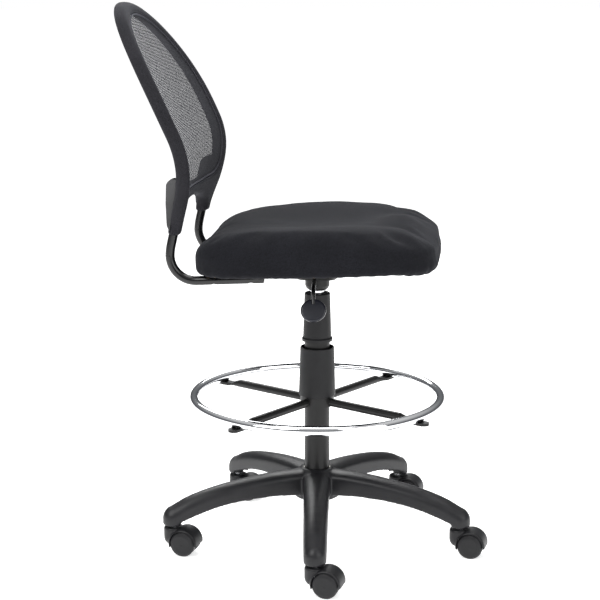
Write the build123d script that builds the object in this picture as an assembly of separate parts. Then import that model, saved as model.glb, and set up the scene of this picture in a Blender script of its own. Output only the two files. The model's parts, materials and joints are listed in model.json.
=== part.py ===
from build123d import *
import math
import os

os.makedirs("parts", exist_ok=True)

# Drafting chair. Millimetres, +Z up, the sitter faces -Y, the lift lever is on the -X side.
# The origin is on the floor, on the axis of the gas lift column.

# ---------------------------------------------------------------- driving dimensions
arm_count = 5
base_turn = 184.85  # direction of the first base arm, degrees from +X
stem_radius = 295.0  # column axis to caster stem
arm_width = 44.0
arm_end_radius = 21.8
base_wall = 3.5
hub_top = 150.0
hub_bottom = 90.0
socket_bottom = 58.0

wheel_radius = 25.0
wheel_inner_face = 5.8
wheel_outer_face = 24.5
caster_trail = 24.5
caster_heading = 259.2  # every caster trails this way, degrees from +X
axle_radius = 3.0
stem_shaft_radius = 5.5
running_gap = 0.06

column_radius = 25.0
column_wall = 2.5
column_bottom = 86.0
column_top = 455.0
spring_radius = 14.0
spring_bore = 12.1
spring_bottom = 125.0
spring_top = 541.0
rod_radius = 5.0

sleeve_top = 506.0
sleeve_bottom = 410.0

ring_radius = 244.5  # centre line of the foot ring
ring_tube_radius = 9.5
ring_wall = 1.5
ring_height = 296.3
spoke_turn = 57.9
spoke_count = 4
spoke_radius = 8.0
collar_bottom = 299.0
collar_top = 397.0

seat_hub_bottom = 512.0
plate_bottom = 537.0
seat_height = 576.0  # underside of the seat board above the column axis
seat_tilt = 3.0  # the seat rises this many degrees towards the front
board_thickness = 12.0
cover_thickness = 1.0
flange_thickness = 3.0
cushion_height = 82.0

bar_spread = 155.0  # half the distance between the two back bars
bar_radius = 8.75
bar_wall = 1.25
bar_front = 85.0
bar_rear = 263.0
leg_bottom = 641.0

back_axis = -570.0  # the back is curved in plan about a vertical axis here
back_thickness = 25.0
rim_skin = 1.6

lever_height = 552.0
lever_pivot = -26.0
lever_rod_radius = 4.0

# ---------------------------------------------------------------- small helpers
UP = (Align.CENTER, Align.CENTER, Align.MIN)


def save(name, *solids):
    """Write one node; several solids become one compound."""
    pieces = [solid for shape in solids for solid in shape.solids()]
    export_step(pieces[0] if len(pieces) == 1 else Compound(children=pieces), f"parts/{name}.step")


def disc(radius, low, high, x=0.0, y=0.0):
    """A cylinder on a vertical axis, between two heights."""
    return Pos(x, y, low) * Cylinder(radius, high - low, align=UP)


def tube(outer, inner, low, high, x=0.0, y=0.0):
    """A ring on a vertical axis, between two heights."""
    return disc(outer, low, high, x, y) - disc(inner, low - 1, high + 1, x, y)


def cross_cylinder(radius, low, high, x, z):
    """A cylinder along Y, between two values of Y."""
    middle = (low + high) / 2
    return Pos(x, middle, z) * Rot(X=90) * Cylinder(radius, high - low)


def turned(points, axis=Axis.Z):
    """A solid turned about the axis from a closed (radius, height) outline."""
    face = make_face(Plane.XZ * Polyline(*points, close=True))
    return revolve(face, axis=axis)


def around(count, start, shape):
    """Copies of a shape, evenly spaced about the column axis."""
    return [Rot(Z=start + 360 / count * index) * shape for index in range(count)]


def tilted(shape):
    """Place a seat piece, drawn with the board's underside at z = 0."""
    return Pos(0, 0, seat_height) * Rot(X=-seat_tilt) * shape


# ---------------------------------------------------------------- five-arm base
def arm_side(drop, reach):
    """Side view of one arm as a face in the XZ plane; drop lowers the top, reach ends it."""
    top = Spline(
        (20, 148.5 - drop), (88, 138 - drop), (161, 126.5 - drop), (230, 114 - drop),
        (284, 99 - drop), (308, 89 - drop), (reach, 70 - drop),
    )
    sole = Polyline((reach, 70 - drop), (reach, socket_bottom), (266, socket_bottom + 1))
    under = Spline((266, socket_bottom + 1), (228, 77), (171, 90), (116, 95), (20, hub_bottom))
    heel = Line((20, hub_bottom), (20, 148.5 - drop))
    return make_face(Plane.XZ * (top + sole + under + heel))


def arm_plan(half_width, end_radius):
    """Plan view of one arm, extruded through the whole height."""
    body = Pos(stem_radius / 2, 0, 0) * Box(stem_radius, 2 * half_width, 400)
    end = Pos(stem_radius, 0, 0) * Cylinder(end_radius, 400)
    return body + end


def make_base():
    """Moulded star base: hub, hollow ribbed arms and a socket at the end of each."""
    side = arm_side(0, 318.0)
    arm = extrude(side, amount=60, both=True) & arm_plan(arm_width / 2, arm_end_radius)
    hollow_side = arm_side(base_wall, 318.0 - base_wall)
    hollow = extrude(hollow_side, amount=60, both=True)
    hollow &= arm_plan(arm_width / 2 - base_wall, arm_end_radius - base_wall)
    hollow -= disc(40, 0, 200)
    under_cut = Pos(0, 0, -base_wall * 0.7) * hollow
    boss = disc(11.0, socket_bottom, 88, stem_radius)
    ribs = [Pos(place, 0, 100) * Box(2.6, arm_width - 2, 100) for place in (95, 135, 175, 215, 255)]
    keep = boss
    for rib in ribs:
        keep += rib
    arm -= (hollow + under_cut) - keep
    hub = turned([
        (0, hub_bottom), (46, hub_bottom), (45, 112), (37, 138), (32.5, 147), (30, hub_top), (0, hub_top),
    ])
    body = hub
    for piece in around(arm_count, base_turn, arm):
        body += piece
    body -= disc(27.6, 0, 300)
    for piece in around(arm_count, base_turn, disc(7.4, 0, 85, stem_radius)):
        body -= piece
    return body


def taper_radius(height):
    """Radius of the column's tapered foot at a height inside the hub."""
    return column_radius - max(0.0, hub_top - height) * 0.018


def make_hub_insert():
    """Steel sleeve moulded into the hub, with the taper that grips the column."""
    return turned([
        (taper_radius(hub_bottom + 1), hub_bottom + 1), (27.6, hub_bottom + 1),
        (27.6, hub_top - 1), (taper_radius(hub_top - 1), hub_top - 1),
    ])


save("star_base", make_base())
save("hub_insert", make_hub_insert())
save("stem_sleeves", *around(
    arm_count, base_turn,
    tube(7.4, stem_shaft_radius + running_gap, socket_bottom + 0.5, 84.5, stem_radius),
))


# ---------------------------------------------------------------- gas lift
def make_column():
    inner = column_radius - column_wall
    foot = column_bottom
    return turned([
        (rod_radius + running_gap, foot), (taper_radius(foot), foot), (column_radius, hub_top),
        (column_radius, column_top), (inner, column_top), (inner, foot + 4), (rod_radius + running_gap, foot + 4),
    ])


def make_guide_bush():
    inner = spring_radius + running_gap
    return turned([
        (inner, 375), (column_radius - column_wall, 375), (column_radius - column_wall, column_top),
        (column_radius, column_top), (column_radius, column_top + 3), (inner, column_top + 3),
    ])


def make_column_sleeve():
    """Tapered plastic sleeve over the top of the column, with a flared lip."""
    wall = 2.4
    return turned([
        (14.6, sleeve_top), (23.6, sleeve_top), (25.2, sleeve_top - 1.6), (28.0, sleeve_bottom + 8),
        (30.2, sleeve_bottom + 5), (30.2, sleeve_bottom), (column_radius, sleeve_bottom),
        (column_radius, column_top + 3), (25.9 - wall, column_top + 3), (25.2 - wall, sleeve_top - 3), (14.6, sleeve_top - 3),
    ])


def make_thrust_bearing():
    floor = column_bottom + 4
    ball = 1.6
    lower = tube(15, rod_radius + running_gap, floor, floor + 2)
    upper = tube(15, rod_radius + running_gap, floor + 2 + 2 * ball, floor + 4 + 2 * ball)
    balls = around(12, 0, Pos(10.5, 0, floor + 2 + ball) * Sphere(ball))
    return [lower, upper, *balls]


column_floor = column_bottom + 4
bearing_top = column_floor + 7.2
save("column_tube", make_column())
save("guide_bush", make_guide_bush())
save("column_sleeve", make_column_sleeve())
save("thrust_bearing", *make_thrust_bearing())

save("piston_rod", disc(rod_radius, 80, 500))
save("piston", tube(spring_bore - running_gap, rod_radius, 486, 498))
save("bump_stop", tube(11, rod_radius, bearing_top + 0.2, bearing_top + 17))
save("rod_clip", tube(8.5, rod_radius, 82.5, 84.5))


def make_pressure_tube():
    return turned([
        (spring_bore, spring_bottom), (spring_radius, spring_bottom), (spring_radius, seat_hub_bottom - 2),
        (13.3, spring_top), (spring_bore, spring_top),
    ])


save("pressure_tube", make_pressure_tube())
save("rod_guide", tube(spring_bore, rod_radius + running_gap, spring_bottom + 0.5, spring_bottom + 16))
valve_seat = tube(spring_bore, 3.06, 519, spring_top - 0.5)
save("valve_body", valve_seat)
save("valve_pin", disc(3.0, 522, 547.4))


# ---------------------------------------------------------------- foot ring
def make_ring_tube():
    outer = Torus(ring_radius, ring_tube_radius)
    inner = Torus(ring_radius, ring_tube_radius - ring_wall)
    holes = around(spoke_count, spoke_turn, disc(2.5, -12, -7, ring_radius))
    ring = outer - holes[0] - holes[1] - holes[2] - holes[3]
    return Pos(0, 0, ring_height) * (ring - inner)


tab_top = ring_height - ring_tube_radius
tab_bottom = tab_top - 5.0
spoke_height = tab_top + 1.5


def make_spider():
    """Hub ring with four tube spokes, each flattened where it passes under the foot ring."""
    round_end = Plane((200, 0, spoke_height), x_dir=(0, 1, 0), z_dir=(1, 0, 0)) * Circle(spoke_radius)
    flat_middle = (tab_top + tab_bottom) / 2
    flat_end = Plane((226, 0, flat_middle), x_dir=(0, 1, 0), z_dir=(1, 0, 0)) * Rectangle(22, 5)
    stretch = loft([round_end, flat_end])
    pipe = Pos(115, 0, spoke_height) * Rot(Y=90) * Cylinder(spoke_radius, 170)
    tab = Pos(242, 0, flat_middle) * Box(32, 22, 5)
    tab += disc(11, tab_bottom, tab_top, 254)
    spoke = pipe + stretch + tab
    spoke -= disc(2.5, 0, 400, ring_radius)
    hub = disc(33.5, 279, 298.5)
    for piece in around(spoke_count, spoke_turn, spoke):
        hub += piece
    return hub - disc(29.0, 0, 400)


def make_collet():
    """Split plastic collet between the column, the spider and the lock collar."""
    body = turned([
        (column_radius + running_gap, 280), (29.0, 280), (29.0, 300), (28.6, 345), (column_radius + running_gap, 345),
    ])
    for angle in range(0, 180, 60):
        body -= Pos(0, 0, 325) * Rot(Z=angle + 10) * Box(80, 2.2, 44)
    return body


def make_lock_collar():
    """Hand-turned collar: a threaded lower part and a thin skirt, open at the top."""
    return turned([
        (29.3, collar_bottom), (35.4, collar_bottom), (36.3, collar_bottom + 1.5), (33.6, collar_top - 1),
        (33.0, collar_top), (31.6, collar_top), (31.6, 352), (29.3, 350),
    ])


save("foot_ring_tube", make_ring_tube())
save("ring_spider", make_spider())
save("ring_collet", make_collet())
save("lock_collar", make_lock_collar())
save("ring_screws", *around(
    spoke_count, spoke_turn,
    disc(5.0, tab_bottom - 3, tab_bottom, ring_radius) + disc(2.5, tab_bottom - 1, tab_top + 3, ring_radius),
))


# ---------------------------------------------------------------- seat mechanism
def make_seat_hub():
    """Turned hub under the plate, with the taper that the gas lift seats in."""
    return turned([
        (13.96, seat_hub_bottom), (17, seat_hub_bottom), (21.5, seat_hub_bottom + 3.5), (24, seat_hub_bottom + 9),
        (24, plate_bottom), (13.39, plate_bottom),
    ])


def dish_solid(lift):
    """The pressed dish of the seat plate, as a solid whose floor is raised by lift."""
    low = Pos(0, 0, plate_bottom + lift) * RectangleRounded(76 - 2 * lift, 76 - 2 * lift, 16)
    high = Pos(0, 0, plate_bottom + 45 + lift) * RectangleRounded(166 - 2 * lift, 166 - 2 * lift, 30)
    return loft([low.face(), high.face()], ruled=True)


plate_bolts = [(x, y) for x in (-88, 88) for y in (-70, 70)]
bar_bolts = [(side * bar_spread, y) for side in (-1, 1) for y in (110, 180)]
flange_top = -cover_thickness
flange_low = flange_top - flange_thickness


def make_seat_plate():
    """Pressed steel plate: a dish around the hub and a tilted flange under the board."""
    below = tilted(Pos(0, 0, flange_top - 60) * Box(400, 400, 60, align=UP))
    dish = (dish_solid(0) - dish_solid(3.0)) & below
    flange = extrude(RectangleRounded(204, 176, 14), amount=flange_thickness)
    for x, y in plate_bolts:
        flange -= disc(3.3, -5, 5, x, y)
    plate = dish + (tilted(Pos(0, 0, flange_low) * flange) - dish_solid(3.0))
    plate -= disc(14.2, 500, 545)
    slot = Pos(-55, 0, lever_height + 2) * Box(40, 13, 17)
    return plate - slot


save("seat_hub", make_seat_hub())
save("seat_plate", make_seat_plate())


def lever_ear(side):
    ear = Pos(lever_pivot, side * 7.2, 549.5) * Box(14, 2.8, 19)
    return ear - cross_cylinder(2.56, -20, 20, lever_pivot, lever_height)


save("lever_ears", lever_ear(-1), lever_ear(1))


def make_lever_rod():
    """Bent rod from above the valve pin out to the paddle."""
    route = FilletPolyline(
        (7, 0, lever_height), (-70, -2, lever_height), (-150, -7, 545), (-162, -8, 516), radius=[40, 18],
    )
    profile = Plane(route @ 0, z_dir=route % 0) * Circle(lever_rod_radius)
    rod = sweep(profile, path=route)
    return rod - cross_cylinder(2.5, -20, 20, lever_pivot, lever_height)


paddle_place = Pos(-166, -8.6, 505) * Rot(Y=-62)


def make_paddle():
    """Oval paddle with rounded edges, pushed over the end of the rod."""
    blade = extrude(Ellipse(22, 24), amount=4.5, both=True)
    blade = fillet(blade.edges(), 3.8)
    return paddle_place * blade


lever_rod = make_lever_rod()
save("lever_rod", lever_rod)
save("lever_pin", cross_cylinder(2.5, -9.5, 9.5, lever_pivot, lever_height))
save("lever_paddle", make_paddle() - lever_rod)


# ---------------------------------------------------------------- seat board, cushion and covers
def seat_outline(inset):
    """Plan of the seat, drawn in by an inset: a soft square, a little narrower at the back."""
    corners = [
        (0, -251), (241, -243), (247, 15), (206, 228), (0, 230), (-206, 228), (-247, 15), (-241, -243),
    ]
    rounding = [1200, 118, 520, 95, 1500, 95, 520, 118]
    outline = make_face(FilletPolyline(*corners, radius=rounding, close=True))
    return offset(outline, -inset) if inset else outline


def make_board():
    """Plywood seat board with holes for the tee nuts."""
    board = extrude(seat_outline(26), amount=board_thickness)
    for x, y in plate_bolts + bar_bolts:
        board -= disc(4.2, -1, board_thickness + 1, x, y)
        board -= disc(9.0, board_thickness - 1.5, board_thickness + 1, x, y)
    return board


def make_cushion():
    """Foam and cover as one closed solid over the board, with a drooping front edge."""
    block = Pos(0, 0, -12) * extrude(seat_outline(0), amount=cushion_height + 12)
    block = fillet(block.edges().group_by(Axis.Z)[-1], 34)
    block = fillet(block.edges().group_by(Axis.Z)[0], 16)
    top = Spline((-252, 52), (-215, 73), (-150, 81.5), (0, 82), (150, 80), (240, 70))
    rear = Line((240, 70), (240, 0))
    bottom = Polyline((240, 0), (-150, 0), (-225, -11), (-252, -11), (-252, 52))
    side = make_face(Plane.YZ * (top + rear + bottom))
    block &= extrude(side, amount=300, both=True)
    return block - Pos(0, 0, -20) * extrude(seat_outline(25.6), amount=board_thickness + 20.2)


def make_dust_cover():
    """Thin cloth stapled under the board, cut away around the plate's dish."""
    sheet = Pos(0, 0, -cover_thickness) * extrude(seat_outline(30), amount=cover_thickness)
    sheet -= Box(150, 140, 10)
    for x, y in plate_bolts + bar_bolts:
        sheet -= disc(3.3, -5, 5, x, y)
    return sheet


def bolt(x, y, head_top, shank_top):
    return disc(5.2, head_top - 4, head_top, x, y) + disc(3.0, head_top - 1, shank_top, x, y)


def tee_nut(x, y):
    flange = tube(8.8, 3.0, board_thickness - 1.4, board_thickness, x, y)
    return flange + tube(4.1, 3.0, 1, board_thickness - 1, x, y)


bar_drop = cover_thickness + bar_radius  # bar centre below the board
save("seat_board", tilted(make_board()))
save("seat_cushion", tilted(make_cushion()))
save("dust_cover", tilted(make_dust_cover()))
save("plate_bolts", *[tilted(bolt(x, y, flange_low, 10)) for x, y in plate_bolts])
save("bar_bolts", *[tilted(bolt(x, y, -bar_drop + 5.2, 10)) for x, y in bar_bolts])
save("tee_nuts", *[tilted(tee_nut(x, y)) for x, y in plate_bolts + bar_bolts])


# ---------------------------------------------------------------- back bars
def bar_axis_height(y):
    """Height of the straight run of a back bar under the tilted board."""
    slope = math.tan(math.radians(seat_tilt))
    return seat_height - bar_drop / math.cos(math.radians(seat_tilt)) - slope * y


def bar_sweep(side, radius):
    route = FilletPolyline(
        (side * bar_spread, bar_front, bar_axis_height(bar_front)),
        (side * bar_spread, bar_rear, bar_axis_height(bar_rear)),
        (side * bar_spread, bar_rear - 1.5, 612),
        (side * bar_spread, 236.5, 722),
        radius=[47, 110],
    )
    return sweep(Plane(route @ 0, z_dir=route % 0) * Circle(radius), path=route)


def make_bar(side):
    """J-shaped steel tube; the bolt heads sit inside it, reached through holes from below."""
    bar = bar_sweep(side, bar_radius) - bar_sweep(side, bar_radius - bar_wall)
    for x, y in bar_bolts:
        if x * side > 0:
            bar -= tilted(disc(3.3, -bar_drop, 5, x, y))
            bar -= tilted(disc(6.0, -40, -bar_drop, x, y))
    return bar


save("back_bar_right", make_bar(-1))
save("back_bar_left", make_bar(1))


# ---------------------------------------------------------------- back rest
front_low = (256.2, 636.0)  # (Y, Z) of the front surface on the centre plane
front_waist = (228.9, 770.0)
front_high = (366.9, 1080.0)
waist_radius = 230.0


def back_curve(depth):
    """The front surface's side view, moved back by a depth: two straights and an arc."""
    low_angle = math.atan2(front_waist[0] - front_low[0], front_waist[1] - front_low[1])
    high_angle = math.atan2(front_high[0] - front_waist[0], front_high[1] - front_waist[1])
    middle = (low_angle + high_angle) / 2
    spread = (high_angle - low_angle) / 2

    def moved(point, angle, distance):
        return (0, point[0] + distance * math.cos(angle), point[1] - distance * math.sin(angle))

    low_depth = depth * 0.88
    return FilletPolyline(
        moved(front_low, low_angle, low_depth),
        moved(front_waist, middle, depth / math.cos(spread)),
        moved(front_high, high_angle, depth),
        radius=waist_radius - depth,
    )


def back_slab(front_depth, rear_depth):
    """Curved slab between two depths behind the front surface, turned about a vertical axis."""
    front = back_curve(front_depth)
    rear = back_curve(rear_depth)
    top = Line(front @ 1, rear @ 1)
    foot = Line(front @ 0, rear @ 0)
    face = make_face(front + top + rear + foot)
    axis = Axis((0, back_axis, 0), (0, 0, 1))
    return revolve(face, axis=axis, revolution_arc=25) + revolve(face, axis=axis, revolution_arc=-25)


def back_outline(inset):
    """Front view of the oval back with its two legs, as a solid through the whole depth."""
    right = [(235 - inset, 860), (227 - inset, 780), (194 - inset, 706), (169 - inset, 660)]
    leg = 168 - inset
    arch = [(142 + inset, leg_bottom), (128, 668 + inset), (84, 684 + inset), (0, 690 + inset)]
    centre = (0, 860)
    crown = EllipticalCenterArc(centre, 235 - inset, 205 - inset, start_angle=0, arc_size=180)
    right_side = Spline(*right, (leg, leg_bottom), tangents=[(0, -1), (0, -1)])
    right_foot = Line((leg, leg_bottom), arch[0])
    right_arch = Spline(*arch, tangents=[(0, 1), (-1, 0)])
    half = [right_side, right_foot, right_arch]
    other_half = [mirror(edge, about=Plane.YZ) for edge in half]
    outline = make_face(Plane.XZ * (crown + half + other_half))
    return extrude(outline, amount=-500)


def back_opening(inset):
    """Front view of the mesh opening, as a solid through the whole depth."""
    centre = (0, 860)
    crown = EllipticalCenterArc(centre, 211 - inset, 181 - inset, start_angle=0, arc_size=180)
    side = Spline(
        (211 - inset, 860), (204 - inset, 785), (171 - inset, 732 + inset), (100, 719 + inset), (0, 717 + inset),
        tangents=[(0, -1), (-1, 0)],
    )
    outline = make_face(Plane.XZ * (crown + side + mirror(side, about=Plane.YZ)))
    return extrude(outline, amount=-500)


rim_block = (back_slab(0, back_thickness) & back_outline(0)) - back_opening(0)
frame_block = (back_slab(rim_skin, back_thickness - rim_skin) & back_outline(rim_skin)) - back_opening(-rim_skin)
bars = [bar_sweep(side, bar_radius) for side in (-1, 1)]
frame = frame_block
rim = rim_block - frame_block
for bar in bars:
    frame -= bar
    rim -= bar
save("back_frame", frame)
save("back_rim_cover", rim)
save("back_mesh", back_slab(3.0, 4.5) & back_opening(0))


def make_rear_cover(side, block):
    """Moulded cover behind a leg of the back, over the screws that hold the bar."""
    outline = make_face(Plane.YZ * (
        Polyline((230, 645), (258, 643), (265, 660), (266.5, 700), (266, 738))
        + ThreePointArc((266, 738), (261.5, 748), (250, 752))
        + Line((250, 752), (230, 752)) + Line((230, 752), (230, 645))
    ))
    cover = extrude(outline, amount=12.5, both=True)
    inner = Pos(0, -2.4, 0) * extrude(outline, amount=10, both=True)
    inner &= Box(100, 600, 194, align=(Align.CENTER, Align.CENTER, Align.CENTER)) .moved(Location((0, 0, 750)))
    shell = cover - inner
    return Pos(side * bar_spread, 0, 0) * shell - block


solid_back = back_slab(0, back_thickness)
for side, name in ((-1, "rear_cover_right"), (1, "rear_cover_left")):
    cover = make_rear_cover(side, solid_back)
    cover = cover - bar_sweep(side, bar_radius)
    save(name, max(cover.solids(), key=lambda solid: solid.volume))


# ---------------------------------------------------------------- casters
def make_wheel(side):
    """One wheel: tread, web and a domed cap, turned about the axle."""
    inner, outer, edge = wheel_inner_face, wheel_outer_face, wheel_radius
    bore = axle_radius + running_gap
    outline = [
        (bore, inner), (8, inner), (8, outer - 6), (20, outer - 6), (20, inner), (edge - 1.5, inner),
        (edge, inner + 2), (edge, outer - 5), (edge - 3, outer - 1.5), (17, outer - 0.4), (0, outer),
        (0, outer - 2.4), (bore, outer - 2.4),
    ]
    face = make_face(Plane.XZ * Polyline(*outline, close=True))
    wheel = revolve(face, axis=Axis.Z)
    return Pos(caster_trail, 0, wheel_radius) * Rot(X=-90 * side) * wheel


def make_hood():
    """Caster body: a web between the wheels, a stem housing and a canopy over both wheels."""
    web = cross_cylinder(23.5, -4.6, 4.6, caster_trail, wheel_radius)
    web -= Pos(caster_trail, 0, 0) * Box(80, 40, 22)
    housing = disc(10.5, 30, 54)
    neck = Pos(9, 0, 34) * Box(20, 9.2, 30)
    canopy = cross_cylinder(30.2, -22.5, 22.5, caster_trail, wheel_radius)
    canopy -= cross_cylinder(26.6, -60, 60, caster_trail, wheel_radius)
    wedge_points = [(0, 0), (60, 26), (60, 80), (-80, 80), (-80, -3)]
    wedge = extrude(make_face(Plane.XZ * Polyline(*wedge_points, close=True)), amount=40, both=True)
    canopy &= Pos(caster_trail, 0, wheel_radius) * wedge
    clearance = cross_cylinder(26.2, 5.2, 60, caster_trail, wheel_radius)
    clearance += cross_cylinder(26.2, -60, -5.2, caster_trail, wheel_radius)
    web_top = cross_cylinder(28.0, -4.6, 4.6, caster_trail, wheel_radius) & (
        Pos(caster_trail, 0, wheel_radius + 20) * Box(44, 40, 40)
    )
    hood = (web + web_top + housing + neck + canopy) - clearance
    hood -= cross_cylinder(axle_radius, -60, 60, caster_trail, wheel_radius)
    return hood - disc(stem_shaft_radius, 32, 60)


hood = make_hood()
stem = disc(stem_shaft_radius, 32, 83) + disc(8.2, 54, 57.4)
axle = cross_cylinder(axle_radius, -21.6, 21.6, caster_trail, wheel_radius)
for number in range(arm_count):
    angle = math.radians(base_turn + 360 / arm_count * number)
    place = Pos(stem_radius * math.cos(angle), stem_radius * math.sin(angle), 0) * Rot(Z=caster_heading)
    label = f"caster_{number + 1}"
    save(f"{label}_hood", place * hood)
    save(f"{label}_pins", place * stem, place * axle)
    save(f"{label}_wheel_a", place * make_wheel(-1))
    save(f"{label}_wheel_b", place * make_wheel(1))
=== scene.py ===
"""Looks for a drafting chair: finishes for its CAD pieces, and its upholstery as separate pieces."""

import json
import math

import bmesh
import bpy
from mathutils import Matrix, Vector
from mathutils.bvhtree import BVHTree


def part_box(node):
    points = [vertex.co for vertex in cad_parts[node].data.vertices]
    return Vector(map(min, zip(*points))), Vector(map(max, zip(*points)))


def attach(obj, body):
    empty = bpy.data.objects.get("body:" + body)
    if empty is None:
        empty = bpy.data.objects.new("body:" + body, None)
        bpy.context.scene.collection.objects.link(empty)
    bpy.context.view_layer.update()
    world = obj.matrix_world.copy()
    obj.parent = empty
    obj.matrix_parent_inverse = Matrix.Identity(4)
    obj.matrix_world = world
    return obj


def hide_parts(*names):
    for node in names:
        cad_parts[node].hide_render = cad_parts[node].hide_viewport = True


bl_info = {
    "name": "Drafting Chair Looks",
    "version": (1, 0, 0),
    "blender": (4, 5, 0),
    "location": "3D View > Sidebar > Chair",
    "description": "Upholsters and finishes the drafting chair around its CAD frame",
    "category": "Object",
}

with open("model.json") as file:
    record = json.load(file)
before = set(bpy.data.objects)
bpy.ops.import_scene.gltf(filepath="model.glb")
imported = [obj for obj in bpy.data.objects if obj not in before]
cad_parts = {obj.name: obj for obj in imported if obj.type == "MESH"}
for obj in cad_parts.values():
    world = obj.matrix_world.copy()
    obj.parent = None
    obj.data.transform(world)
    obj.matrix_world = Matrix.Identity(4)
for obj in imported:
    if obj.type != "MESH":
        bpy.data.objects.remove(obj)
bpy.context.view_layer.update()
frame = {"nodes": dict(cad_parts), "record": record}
MM = 0.001

# Places that the upholstery shares with the frame, in metres.
SEAT_HEIGHT = 0.576  # underside of the seat board above the column axis
SEAT_TILT = math.radians(3.0)
BACK_AXIS_Y = -0.570  # the back is curved in plan about a vertical axis here
BACK_THICKNESS = 0.025
BACK_WAIST = (0.2289, 0.770)  # (Y, Z) where the two straights of the side view would meet
BACK_LOW_ANGLE = -0.2010
BACK_HIGH_ANGLE = 0.4189
WAIST_RADIUS = 0.230
LEG_BOTTOM = 0.641


# ------------------------------------------------------------------ settings
class ChairSeatSettings(bpy.types.PropertyGroup):
    """Sizes of the padded seat"""

    voxel: bpy.props.FloatProperty(
        name="Cloth grain", description="Size of the cloth simulation's faces", default=0.0058,
        subtype="DISTANCE", unit="LENGTH",
    )
    pressure: bpy.props.FloatProperty(
        name="Filling pressure", description="How hard the foam pushes the cover out", default=3.5,
    )
    swell: bpy.props.FloatProperty(
        name="Most swelling", description="How far the cover may move out", default=0.008,
        subtype="DISTANCE", unit="LENGTH",
    )
    dish: bpy.props.FloatProperty(
        name="Dish depth", description="How deep the seat is hollowed", default=0.019,
        subtype="DISTANCE", unit="LENGTH",
    )


class ChairBackSettings(bpy.types.PropertyGroup):
    """Sizes of the net back"""

    net_pitch: bpy.props.FloatProperty(
        name="Net pitch", description="Distance between neighbouring holes", default=0.0030,
        subtype="DISTANCE", unit="LENGTH",
    )
    hole_share: bpy.props.FloatProperty(
        name="Hole share", description="Width of a hole over the pitch", default=0.37, min=0.1, max=0.9,
    )
    stitch_length: bpy.props.FloatProperty(
        name="Stitch length", description="Length of one stitch", default=0.0034,
        subtype="DISTANCE", unit="LENGTH",
    )


class ChairFinishSettings(bpy.types.PropertyGroup):
    """Colours of the finishes"""

    seat_color: bpy.props.FloatVectorProperty(
        name="Seat cloth", description="Colour of the seat's cloth", default=(0.0080, 0.0083, 0.0110),
        subtype="COLOR", size=3,
    )
    rim_color: bpy.props.FloatVectorProperty(
        name="Back sleeve", description="Colour of the back's cloth sleeve", default=(0.019, 0.0185, 0.022),
        subtype="COLOR", size=3,
    )
    net_color: bpy.props.FloatVectorProperty(
        name="Back net", description="Colour of the back's net", default=(0.028, 0.028, 0.032),
        subtype="COLOR", size=3,
    )
    nylon_color: bpy.props.FloatVectorProperty(
        name="Moulded nylon", description="Colour of the base and casters", default=(0.0112, 0.0112, 0.0128),
        subtype="COLOR", size=3,
    )


class ChairStageSettings(bpy.types.PropertyGroup):
    """Camera and floor"""

    distance: bpy.props.FloatProperty(
        name="Camera distance", description="From the column axis, level", default=2.9356,
        subtype="DISTANCE", unit="LENGTH",
    )
    height: bpy.props.FloatProperty(
        name="Camera height", description="Above the floor", default=1.1055,
        subtype="DISTANCE", unit="LENGTH",
    )
    lens: bpy.props.FloatProperty(name="Lens", description="Focal length in mm", default=91.6)


# ------------------------------------------------------------------ materials
class Finish:
    """A procedural material being built: the Principled shader and short calls that feed it."""

    def __init__(self, name, color, roughness, metallic=0.0, **sockets):
        self.material = bpy.data.materials.new(name)
        self.material.use_nodes = True
        self.tree = self.material.node_tree
        self.shader = self.tree.nodes["Principled BSDF"]
        self.shader.inputs["Base Color"].default_value = (*color, 1.0)
        self.shader.inputs["Roughness"].default_value = roughness
        self.shader.inputs["Metallic"].default_value = metallic
        for socket, value in sockets.items():
            self.shader.inputs[socket.replace("_", " ")].default_value = value
        self.place = self.tree.nodes.new("ShaderNodeTexCoord").outputs["Object"]

    def node(self, kind, inputs=(), **settings):
        made = self.tree.nodes.new(kind)
        for name, value in settings.items():
            setattr(made, name, value)
        for socket, value in dict(inputs).items():
            if isinstance(value, bpy.types.NodeSocket):
                self.tree.links.new(value, made.inputs[socket])
            else:
                made.inputs[socket].default_value = value
        return made

    def stretched(self, scale):
        return self.node("ShaderNodeMapping", {"Vector": self.place, "Scale": scale}).outputs["Vector"]

    def noise(self, scale, detail=3.0, vector=None):
        inputs = {"Vector": vector or self.place, "Scale": scale, "Detail": detail}
        return self.node("ShaderNodeTexNoise", inputs).outputs["Fac"]

    def cells(self, scale, vector=None):
        inputs = {"Vector": vector or self.place, "Scale": scale}
        return self.node("ShaderNodeTexVoronoi", inputs).outputs["Distance"]

    def ramp(self, value, low, high, low_at=0.3, high_at=0.7):
        """A colour that goes from low to high as value goes from low_at to high_at."""
        made = self.node("ShaderNodeValToRGB", {"Fac": value})
        first, last = made.color_ramp.elements
        first.position, last.position = low_at, high_at
        first.color, last.color = (*low, 1.0), (*high, 1.0)
        return made.outputs["Color"]

    def between(self, value, low, high):
        """A number from low to high as value goes from 0 to 1."""
        inputs = {"Value": value, "To Min": low, "To Max": high}
        return self.node("ShaderNodeMapRange", inputs).outputs["Result"]

    def sum(self, first, second, operation="ADD"):
        return self.node("ShaderNodeMath", {0: first, 1: second}, operation=operation).outputs[0]

    def paint(self, color=None, roughness=None):
        if color is not None:
            self.tree.links.new(color, self.shader.inputs["Base Color"])
        if roughness is not None:
            self.tree.links.new(roughness, self.shader.inputs["Roughness"])
        return self

    def bump(self, height, depth, strength=1.0):
        made = self.node("ShaderNodeBump", {"Height": height, "Distance": depth, "Strength": strength})
        self.tree.links.new(made.outputs["Normal"], self.shader.inputs["Normal"])
        return self


def shade(color, factor):
    return tuple(channel * factor for channel in color)


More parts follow.
